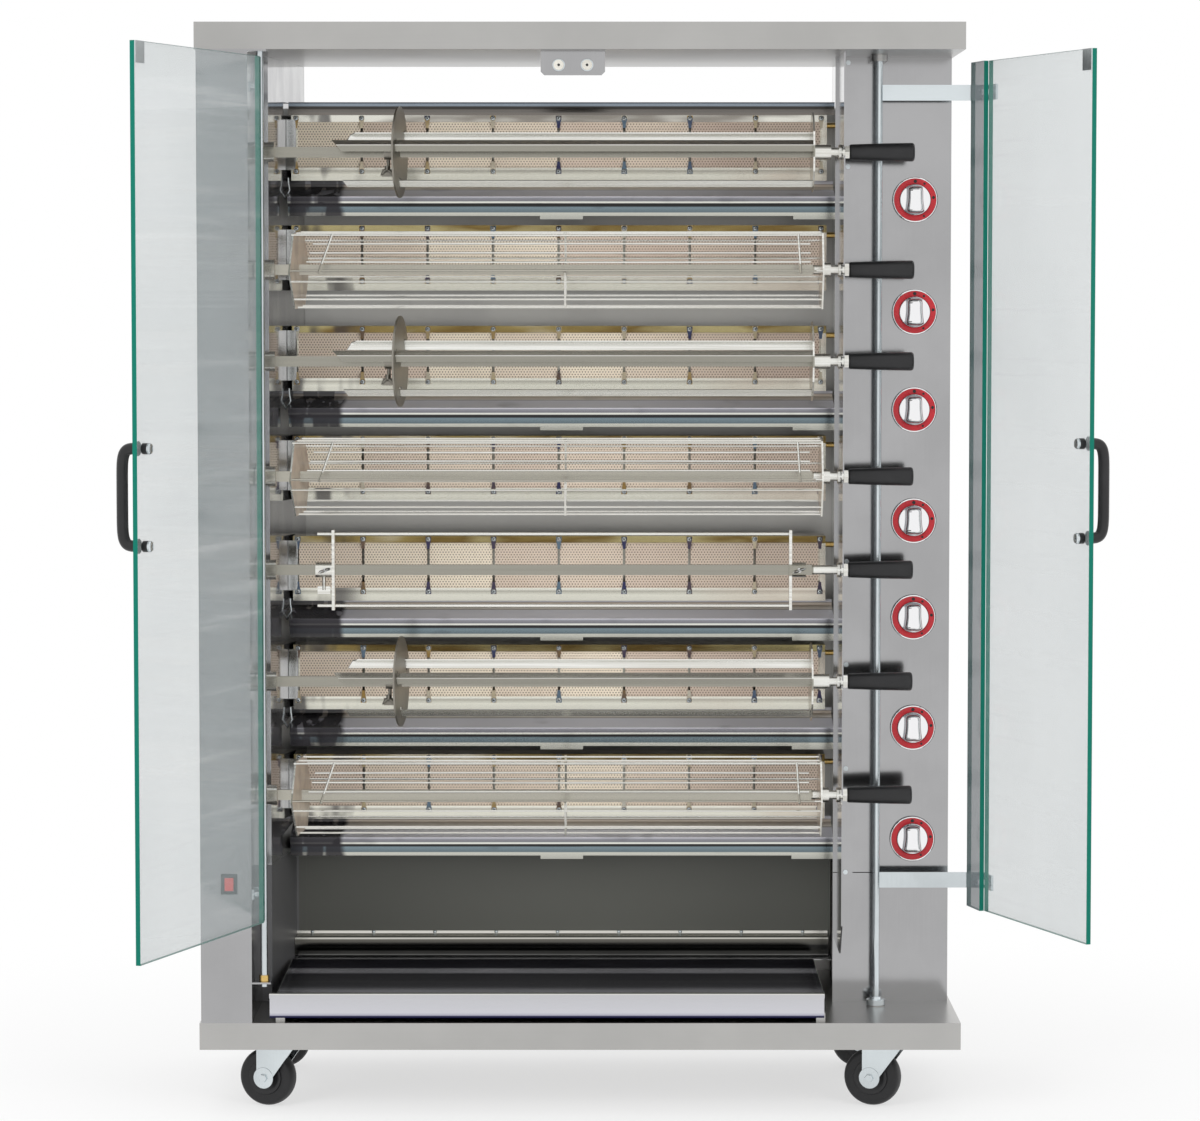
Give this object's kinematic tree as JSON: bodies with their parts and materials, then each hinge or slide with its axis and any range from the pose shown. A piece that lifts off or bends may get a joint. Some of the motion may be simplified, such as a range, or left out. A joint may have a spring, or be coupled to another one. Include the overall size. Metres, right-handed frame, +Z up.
{
  "type": "chicken rotisserie",
  "caption": "Free-standing gas wall rotisserie: steel cabinet on casters, stacked infrared burners, chain-driven spits with baskets, blades and forks, control knobs and glass doors.",
  "frame": {"origin": "on the floor, under the middle of the outer box with both doors open", "axes": "+X to the right along the front, +Y into the cabinet, +Z up"},
  "size_m": [1.6058, 1.0968, 1.861],
  "materials": {
    "polished_steel": "polished",
    "satin_steel": "fine satin grain",
    "zinc": "zinc plated",
    "chrome": "bright",
    "ceramic": "perforated ceramic",
    "brass": "turned",
    "glass": "clear tempered",
    "black_plastic": "moulded",
    "dark_plastic": "moulded",
    "red_plastic": "gloss",
    "tyre": "solid tyre"
  },
  "bodies": {
    "cabinet": {"base_tray": "polished_steel", "roof_canopy": "polished_steel", "left_column": "satin_steel", "drive_bearings": "zinc", "right_column": "satin_steel", "control_panel": "satin_steel", "spit_support": "satin_steel", "support_screws": "zinc", "chamber_walls": "polished_steel", "back_covers": "satin_steel", "burner_trays": "polished_steel", "burner_clips": "polished_steel", "ceramic_tiles": "ceramic", "deflector_shelves": "polished_steel", "gas_train": "zinc", "gas_injectors": "brass", "drive_chain_and_motor": "zinc", "magnet_catch": "satin_steel", "switch_bezel": "dark_plastic", "caster_mounts": "zinc"},
    "spit_2": {"spit_2": "polished_steel", "spit_grip_2": "black_plastic"},
    "spit_1": {"spit_1": "polished_steel", "spit_grip_1": "black_plastic"},
    "spit_3": {"spit_3": "polished_steel", "spit_grip_3": "black_plastic"},
    "spit_4": {"spit_4": "polished_steel", "spit_grip_4": "black_plastic"},
    "spit_5": {"spit_5": "polished_steel", "spit_grip_5": "black_plastic"},
    "spit_6": {"spit_6": "polished_steel", "spit_grip_6": "black_plastic"},
    "spit_7": {"spit_7": "polished_steel", "spit_grip_7": "black_plastic"},
    "drive_sprocket": {"drive_sprocket": "zinc"},
    "disc_1": {"sliding_disc_1": "satin_steel"},
    "basket_lid_2": {"basket_lid_2": "polished_steel"},
    "disc_3": {"sliding_disc_3": "satin_steel"},
    "basket_lid_4": {"basket_lid_4": "polished_steel"},
    "fork_clamp_5": {"fork_clamp_5": "polished_steel"},
    "disc_6": {"sliding_disc_6": "satin_steel"},
    "basket_lid_7": {"basket_lid_7": "polished_steel"},
    "door_left": {"door_left_glass": "glass", "door_left_frame": "zinc", "door_left_handle": "black_plastic"},
    "door_right": {"door_right_glass": "glass", "door_right_frame": "zinc", "door_right_handle": "black_plastic"},
    "knob_1": {"knob_1": "chrome"},
    "knob_2": {"knob_2": "chrome"},
    "knob_3": {"knob_3": "chrome"},
    "knob_4": {"knob_4": "chrome"},
    "knob_5": {"knob_5": "chrome"},
    "knob_6": {"knob_6": "chrome"},
    "knob_7": {"knob_7": "chrome"},
    "switch_rocker": {"switch_rocker": "red_plastic"},
    "drip_tray": {"drip_tray": "polished_steel"},
    "caster_fork_left": {"caster_fork_left": "zinc"},
    "caster_wheel_front_left": {"caster_wheel_front_left": "tyre"},
    "caster_wheel_rear_left": {"caster_wheel_rear_left": "tyre"},
    "caster_fork_right": {"caster_fork_right": "zinc"},
    "caster_wheel_front_right": {"caster_wheel_front_right": "tyre"},
    "caster_wheel_rear_right": {"caster_wheel_rear_right": "tyre"}
  },
  "joints": [
    {"name": "spit_2_spin", "type": "hinge", "parent": "cabinet", "child": "spit_2", "pos_m": [-0.06768, 0.05944, 1.445], "axis": [1, 0, 0], "continuous": true},
    {"name": "spit_1_spin", "type": "hinge", "parent": "cabinet", "child": "spit_1", "pos_m": [-0.06768, 0.05944, 1.64596], "axis": [1, 0, 0], "continuous": true},
    {"name": "spit_3_spin", "type": "hinge", "parent": "cabinet", "child": "spit_3", "pos_m": [-0.06768, 0.05944, 1.28804], "axis": [1, 0, 0], "continuous": true},
    {"name": "spit_4_spin", "type": "hinge", "parent": "cabinet", "child": "spit_4", "pos_m": [-0.06768, 0.05944, 1.09005], "axis": [1, 0, 0], "continuous": true},
    {"name": "spit_5_spin", "type": "hinge", "parent": "cabinet", "child": "spit_5", "pos_m": [-0.06768, 0.05944, 0.92895], "axis": [1, 0, 0], "continuous": true},
    {"name": "spit_6_spin", "type": "hinge", "parent": "cabinet", "child": "spit_6", "pos_m": [-0.06768, 0.05944, 0.73593], "axis": [1, 0, 0], "continuous": true},
    {"name": "spit_7_spin", "type": "hinge", "parent": "cabinet", "child": "spit_7", "pos_m": [-0.06768, 0.05944, 0.53894], "axis": [1, 0, 0], "continuous": true},
    {"name": "drive_sprocket_spin", "type": "hinge", "parent": "cabinet", "child": "drive_sprocket", "pos_m": [-0.06768, 0.05944, 0.40894], "axis": [1, 0, 0], "continuous": true},
    {"name": "disc_1_slide", "type": "slide", "parent": "spit_1", "child": "disc_1", "axis": [1, 0, 0], "range_m": [-0.06, 0.6]},
    {"name": "basket_lid_2_hinge", "type": "hinge", "parent": "spit_2", "child": "basket_lid_2", "pos_m": [-0.06768, -0.0139, 1.44278], "axis": [1, 0, 0], "range_deg": [0, 90]},
    {"name": "disc_3_slide", "type": "slide", "parent": "spit_3", "child": "disc_3", "axis": [1, 0, 0], "range_m": [-0.06, 0.6]},
    {"name": "basket_lid_4_hinge", "type": "hinge", "parent": "spit_4", "child": "basket_lid_4", "pos_m": [-0.06768, -0.0139, 1.08783], "axis": [1, 0, 0], "range_deg": [0, 90]},
    {"name": "fork_clamp_5_slide", "type": "slide", "parent": "spit_5", "child": "fork_clamp_5", "axis": [1, 0, 0], "range_m": [-0.02, 0.6]},
    {"name": "disc_6_slide", "type": "slide", "parent": "spit_6", "child": "disc_6", "axis": [1, 0, 0], "range_m": [-0.06, 0.6]},
    {"name": "basket_lid_7_hinge", "type": "hinge", "parent": "spit_7", "child": "basket_lid_7", "pos_m": [-0.06768, -0.0139, 0.53672], "axis": [1, 0, 0], "range_deg": [0, 90]},
    {"name": "door_left_hinge", "type": "hinge", "parent": "cabinet", "child": "door_left", "pos_m": [-0.60768, -0.04556, 0.337], "axis": [0, 0, -1], "range_deg": [-109, 0]},
    {"name": "door_right_hinge", "type": "hinge", "parent": "cabinet", "child": "door_right", "pos_m": [0.44832, 0.12144, 0.337], "axis": [0, 0, 1], "range_deg": [-109.2, 0]},
    {"name": "knob_1_turn", "type": "hinge", "parent": "cabinet", "child": "knob_1", "pos_m": [0.51432, 0.16944, 1.56706], "axis": [0, 1, 0], "range_deg": [0, 210]},
    {"name": "knob_2_turn", "type": "hinge", "parent": "cabinet", "child": "knob_2", "pos_m": [0.51432, 0.16944, 1.37206], "axis": [0, 1, 0], "range_deg": [0, 210]},
    {"name": "knob_3_turn", "type": "hinge", "parent": "cabinet", "child": "knob_3", "pos_m": [0.51432, 0.16944, 1.20203], "axis": [0, 1, 0], "range_deg": [0, 210]},
    {"name": "knob_4_turn", "type": "hinge", "parent": "cabinet", "child": "knob_4", "pos_m": [0.51432, 0.16944, 1.00801], "axis": [0, 1, 0], "range_deg": [0, 210]},
    {"name": "knob_5_turn", "type": "hinge", "parent": "cabinet", "child": "knob_5", "pos_m": [0.51432, 0.16944, 0.83898], "axis": [0, 1, 0], "range_deg": [0, 210]},
    {"name": "knob_6_turn", "type": "hinge", "parent": "cabinet", "child": "knob_6", "pos_m": [0.51432, 0.16944, 0.64496], "axis": [0, 1, 0], "range_deg": [0, 210]},
    {"name": "knob_7_turn", "type": "hinge", "parent": "cabinet", "child": "knob_7", "pos_m": [0.51432, 0.16944, 0.44896], "axis": [0, 1, 0], "range_deg": [0, 210]},
    {"name": "switch_tilt", "type": "hinge", "parent": "cabinet", "child": "switch_rocker", "pos_m": [-0.66568, -0.05606, 0.4], "axis": [1, 0, 0], "range_deg": [-7, 7]},
    {"name": "drip_tray_slide", "type": "slide", "parent": "cabinet", "child": "drip_tray", "axis": [0, -1, 0], "range_m": [0, 0.33]},
    {"name": "caster_left_swivel", "type": "hinge", "parent": "cabinet", "child": "caster_fork_left", "pos_m": [-0.58237, 0.03944, 0.118], "axis": [0, 0, 1], "continuous": true},
    {"name": "caster_wheel_front_left_roll", "type": "hinge", "parent": "caster_fork_left", "child": "caster_wheel_front_left", "pos_m": [-0.60868, 0.04902, 0.05], "axis": [0.342, 0.9397, 0], "continuous": true},
    {"name": "caster_wheel_rear_left_roll", "type": "hinge", "parent": "cabinet", "child": "caster_wheel_rear_left", "pos_m": [-0.61037, 0.41444, 0.05], "axis": [0, 1, 0], "continuous": true},
    {"name": "caster_right_swivel", "type": "hinge", "parent": "cabinet", "child": "caster_fork_right", "pos_m": [0.46563, 0.03944, 0.118], "axis": [0, 0, 1], "continuous": true},
    {"name": "caster_wheel_front_right_roll", "type": "hinge", "parent": "caster_fork_right", "child": "caster_wheel_front_right", "pos_m": [0.43932, 0.04902, 0.05], "axis": [0.342, 0.9397, 0], "continuous": true},
    {"name": "caster_wheel_rear_right_roll", "type": "hinge", "parent": "cabinet", "child": "caster_wheel_rear_right", "pos_m": [0.43763, 0.41444, 0.05], "axis": [0, 1, 0], "continuous": true}
  ],
  "couplings": [
    {"joint": "spit_1_spin", "follows": "spit_2_spin", "ratio": 1},
    {"joint": "spit_3_spin", "follows": "spit_2_spin", "ratio": 1},
    {"joint": "spit_4_spin", "follows": "spit_2_spin", "ratio": 1},
    {"joint": "spit_5_spin", "follows": "spit_2_spin", "ratio": 1},
    {"joint": "spit_6_spin", "follows": "spit_2_spin", "ratio": 1},
    {"joint": "spit_7_spin", "follows": "spit_2_spin", "ratio": 1},
    {"joint": "drive_sprocket_spin", "follows": "spit_2_spin", "ratio": 1}
  ]
}
